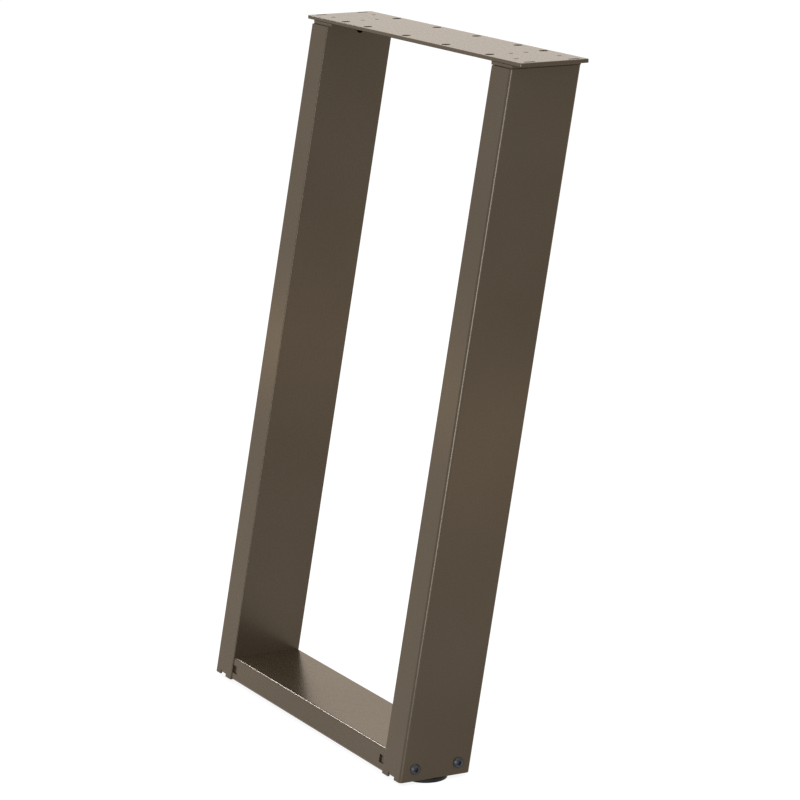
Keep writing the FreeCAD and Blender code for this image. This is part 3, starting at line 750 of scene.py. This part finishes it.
# %% The coat of the top plate, with its dots
DOT_RADIUS = 2.6 * MM
DOT_GREY = srgb(80, 74, 76)
DOT_ROUGHNESS = 0.6

dot = band(tree, nearest, "inside a dot", DOT_RADIUS * 1.08, DOT_RADIUS * 0.92, 0.0, 1.0)
ring = band(tree, nearest, "rim of a dot", DOT_RADIUS * 1.25, DOT_RADIUS, 0.0, 1.0)
tinted = blend_colours(tree, dot, colour, DOT_GREY, "weld dots")
tree.links.new(tinted, shader.inputs["Base Color"])
metal = band(tree, dot, "fewer flakes in a dot", 0.0, 1.0, 0.5, 0.0)
tree.links.new(metal, shader.inputs["Metallic"])
duller = number("MAXIMUM", gloss, number("MULTIPLY", dot, DOT_ROUGHNESS), label="duller in a dot")
tree.links.new(duller, shader.inputs["Roughness"])
dent = emboss(tree, shader, ring, "dent at the dots", 0.8, 0.00015)
dent.invert = True
tree.links.new(bump.outputs["Normal"], dent.inputs["Normal"])
for slot in nodes["top_plate"].material_slots:
    slot.material = plate_coat
print(plate_coat.name, "has", len(tree.nodes), "nodes")

# %% [markdown]
# ## Screws, nuts and pads
# The socket screws are blackened steel, dull and a little uneven. Nuts and levelling screws are
# zinc plated, brighter, with a faint crystal pattern. The pads are black moulded plastic with a
# fine grain. Each has its own pattern at its own scale.

# %% Blackened steel
BLACK_STEEL = srgb(46, 46, 49)
BLACK_STEEL_LIGHT = srgb(72, 72, 77)

black_steel, tree, shader, place = new_finish("blackened_steel")
stain = add(tree, "ShaderNodeTexNoise", "uneven blackening", Scale=420.0, Detail=4.0)
tree.links.new(place, stain.inputs["Vector"])
tone = band(tree, stain.outputs["Fac"], "blackening", 0.3, 0.7, 0.0, 1.0)
colour = blend_colours(tree, tone, BLACK_STEEL, BLACK_STEEL_LIGHT, "dark tones")
tree.links.new(colour, shader.inputs["Base Color"])
dullness = band(tree, stain.outputs["Fac"], "dullness", 0.3, 0.7, 0.32, 0.5)
tree.links.new(dullness, shader.inputs["Roughness"])
shader.inputs["Metallic"].default_value = 0.75
emboss(tree, shader, stain.outputs["Fac"], "fine tooth", 0.25, 0.00003)
print(black_steel.name, "has", len(tree.nodes), "nodes")

# %% Zinc plate
ZINC = srgb(168, 170, 172)
ZINC_LIGHT = srgb(186, 188, 188)

zinc, tree, shader, place = new_finish("zinc_plate")
crystals = add(tree, "ShaderNodeTexVoronoi", "crystals", Scale=700.0)
haze = add(tree, "ShaderNodeTexNoise", "haze", Scale=1500.0, Detail=3.0)
for pattern in (crystals, haze):
    tree.links.new(place, pattern.inputs["Vector"])
grey = tree.nodes.new("ShaderNodeSeparateColor")
tree.links.new(crystals.outputs["Color"], grey.inputs["Color"])
colour = blend_colours(tree, grey.outputs["Red"], ZINC, ZINC_LIGHT, "crystal tones")
tree.links.new(colour, shader.inputs["Base Color"])
gloss = band(tree, haze.outputs["Fac"], "haze to gloss", 0.3, 0.7, 0.28, 0.42)
tree.links.new(gloss, shader.inputs["Roughness"])
shader.inputs["Metallic"].default_value = 1.0
emboss(tree, shader, haze.outputs["Fac"], "plating", 0.2, 0.00002)
print(zinc.name, "has", len(tree.nodes), "nodes")

# %% Black moulded plastic
PLASTIC = srgb(8, 8, 8)
PLASTIC_LIGHT = srgb(18, 18, 18)

plastic, tree, shader, place = new_finish("black_plastic")
grain = add(tree, "ShaderNodeTexNoise", "moulded grain", Scale=2200.0, Detail=3.0)
tree.links.new(place, grain.inputs["Vector"])
tone = band(tree, grain.outputs["Fac"], "grain tone", 0.3, 0.7, 0.0, 1.0)
colour = blend_colours(tree, tone, PLASTIC, PLASTIC_LIGHT, "black tones")
tree.links.new(colour, shader.inputs["Base Color"])
sheen = band(tree, grain.outputs["Fac"], "sheen", 0.3, 0.7, 0.45, 0.6)
tree.links.new(sheen, shader.inputs["Roughness"])
shader.inputs["Specular IOR Level"].default_value = 0.25
emboss(tree, shader, grain.outputs["Fac"], "grain height", 0.5, 0.00005)
print(plastic.name, "has", len(tree.nodes), "nodes")


# %% Give the new pieces their finishes
def dress_in(material, words):
    """Puts a finish on every new piece whose name ends in one of the words."""
    for piece in bpy.data.objects:
        if piece.type == "MESH" and piece.name not in nodes and piece.name.endswith(words):
            piece.data.materials.clear()
            piece.data.materials.append(material)
            print(piece.name, "is finished in", material.name)


dress_in(coat, ("cap_weld",))
dress_in(black_steel, ("socket_screw",))
dress_in(zinc, ("nut", "levelling_screw"))
dress_in(plastic, ("_pad",))

# %% [markdown]
# ## Floor
# The leg stands on a plain white floor. The floor is lit as any surface is, so it takes the leg's
# soft shadow, and a little white of its own lifts it to the white of the background for the
# camera and for reflections. It is clear from below, so that the soles can be looked at too.

# %% What only the eye sees
def seen_directly(tree):
    """1 for the camera's own rays and for those in a mirror image or behind glass, else 0."""
    ray = tree.nodes.new("ShaderNodeLightPath")
    first = add(tree, "ShaderNodeMath", "camera or mirror", operation="MAXIMUM")
    second = add(tree, "ShaderNodeMath", "or glass", operation="MAXIMUM")
    tree.links.new(ray.outputs["Is Camera Ray"], first.inputs[0])
    tree.links.new(ray.outputs["Is Glossy Ray"], first.inputs[1])
    tree.links.new(first.outputs[0], second.inputs[0])
    tree.links.new(ray.outputs["Is Transmission Ray"], second.inputs[1])
    return second.outputs[0]


# %% Lay the floor
FLOOR_Z = pad_low.z
FLOOR_SIZE = 18
FLOOR_TONE = (0.30, 0.30, 0.30, 1)
FLOOR_GLOW = 0.88

let_go()
bpy.ops.mesh.primitive_plane_add(size=FLOOR_SIZE, location=(0, 0, FLOOR_Z))
floor = new_piece("floor")
floor_white, tree, shader, place = new_finish("floor_white")
matt = tree.nodes.new("ShaderNodeBsdfDiffuse")
matt.inputs["Color"].default_value = FLOOR_TONE
glow = tree.nodes.new("ShaderNodeEmission")
glow.inputs["Color"].default_value = (1, 1, 1, 1)
strength = add(tree, "ShaderNodeMath", "glow for the eye only", operation="MULTIPLY")
tree.links.new(seen_directly(tree), strength.inputs[0])
strength.inputs[1].default_value = FLOOR_GLOW
tree.links.new(strength.outputs[0], glow.inputs["Strength"])
together = tree.nodes.new("ShaderNodeAddShader")
tree.links.new(matt.outputs[0], together.inputs[0])
tree.links.new(glow.outputs[0], together.inputs[1])
clear = tree.nodes.new("ShaderNodeBsdfTransparent")
face_side = tree.nodes.new("ShaderNodeNewGeometry")
one_sided = tree.nodes.new("ShaderNodeMixShader")
tree.links.new(face_side.outputs["Backfacing"], one_sided.inputs["Fac"])
tree.links.new(together.outputs[0], one_sided.inputs[1])
tree.links.new(clear.outputs[0], one_sided.inputs[2])
tree.links.new(one_sided.outputs[0], tree.nodes["Material Output"].inputs["Surface"])
floor.data.materials.append(floor_white)
print("floor at z", round(FLOOR_Z, 4))

# %% [markdown]
# ## Light
# The studio is a white tent, so the world gives an even light from everywhere. A coated sheet then
# shows its shape by what it mirrors. A wide cool lamp at the right front draws the light line down
# the folds of the posts, and a small one at the left, with a narrow beam, does the same along the
# upper fold of the bar. A pale card at the left back and a lamp above light the plate and the top
# of the bar, and two low amber cards give the posts their warm patches.

# %% The world
TENT_LIGHT = 0.55

world = bpy.data.worlds.new("studio")
bpy.context.scene.world = world
world.use_nodes = True
sky = world.node_tree
backdrop = sky.nodes["Background"]
backdrop.inputs["Color"].default_value = (1, 1, 1, 1)
tent = add(sky, "ShaderNodeMapRange", "white to the eye, plain to the paint")
tent.inputs["To Min"].default_value = TENT_LIGHT
tent.inputs["To Max"].default_value = 1.0
sky.links.new(seen_directly(sky), tent.inputs["Value"])
sky.links.new(tent.outputs["Result"], backdrop.inputs["Strength"])
print("the tent lights the leg with", TENT_LIGHT, "of its white")

# %% The lamps, each with its place, the point it faces, width, height, power, colour and beam
COOL = (0.72, 0.83, 1.0)
WARM = (1.0, 0.96, 0.91)
AMBER = (1.0, 0.80, 0.50)


def hang_lamp(name, place, aim, width, height, power, colour, beam=180):
    """A soft rectangular lamp at a place, turned to face a point, with its beam in degrees."""
    lamp = bpy.data.lights.new(name, "AREA")
    lamp.shape = "RECTANGLE"
    lamp.size = width
    lamp.size_y = height
    lamp.energy = power
    lamp.spread = math.radians(beam)
    lamp.color = colour
    holder = bpy.data.objects.new(name, lamp)
    bpy.context.scene.collection.objects.link(holder)
    holder.location = place
    holder.rotation_euler = (Vector(aim) - Vector(place)).to_track_quat("-Z", "Y").to_euler()
    holder.visible_camera = False
    print(name, "gives", power, "W")


hang_lamp("key_lamp", (-2.1, -0.32, 0.60), (0.25, -0.15, -0.69), 0.6, 0.5, 0.30, COOL, beam=14)
hang_lamp("front_lamp", (1.6, -1.9, -0.2), (0, -0.06, -0.36), 1.0, 1.0, 28, COOL)
hang_lamp("back_card", (-2.2, 1.15, 0.55), (0, 0, -0.2), 1.8, 1.7, 2.8, WARM)
hang_lamp("top_lamp", (0.1, 0.2, 2.2), (0, 0, 0), 2.4, 2.4, 17, WARM)
hang_lamp("right_low_card", (1.05, 0.46, -0.61), (0, -0.07, -0.37), 0.7, 0.10, 0.18, AMBER)
hang_lamp("left_low_card", (-1.05, -0.64, -0.40), (0, -0.10, -0.37), 0.7, 0.10, 0.15, AMBER)

# %% [markdown]
# ## Camera
# The picture was taken with a long lens from the right front, a little above the plate, looking
# down by about twelve degrees. The camera is built from its three directions: right, up and back.

# %% Set up the camera
CAMERA_PLACE = (3.3534, -1.7606, 0.4507)
HEADING, DIP, TILT = 1.0990, 0.2169, -0.0042
LENS_PIXELS, FRAME_PIXELS = 3686.9, 800

forward = Vector((
    -math.sin(HEADING) * math.cos(DIP), math.cos(HEADING) * math.cos(DIP), -math.sin(DIP),
))
level = Vector((math.cos(HEADING), math.sin(HEADING), 0))
above = level.cross(forward)
right = level * math.cos(TILT) + above * math.sin(TILT)
up = above * math.cos(TILT) - level * math.sin(TILT)
facing = Matrix((right, up, -forward)).transposed().to_4x4()
lens = bpy.data.cameras.new("camera")
camera = bpy.data.objects.new("camera", lens)
bpy.context.scene.collection.objects.link(camera)
camera.matrix_world = Matrix.Translation(CAMERA_PLACE) @ facing
lens.sensor_width = 36.0
lens.lens = LENS_PIXELS / FRAME_PIXELS * lens.sensor_width
lens.clip_end = 50
bpy.context.scene.camera = camera
bpy.context.scene.view_settings.view_transform = "Standard"
print("lens", round(lens.lens, 1), "mm")

# %% [markdown]
# ## Finish
# The last step lets go of every piece. The visual model must stay inside the CAD
# model's box.

# %% Let go of everything
let_go()
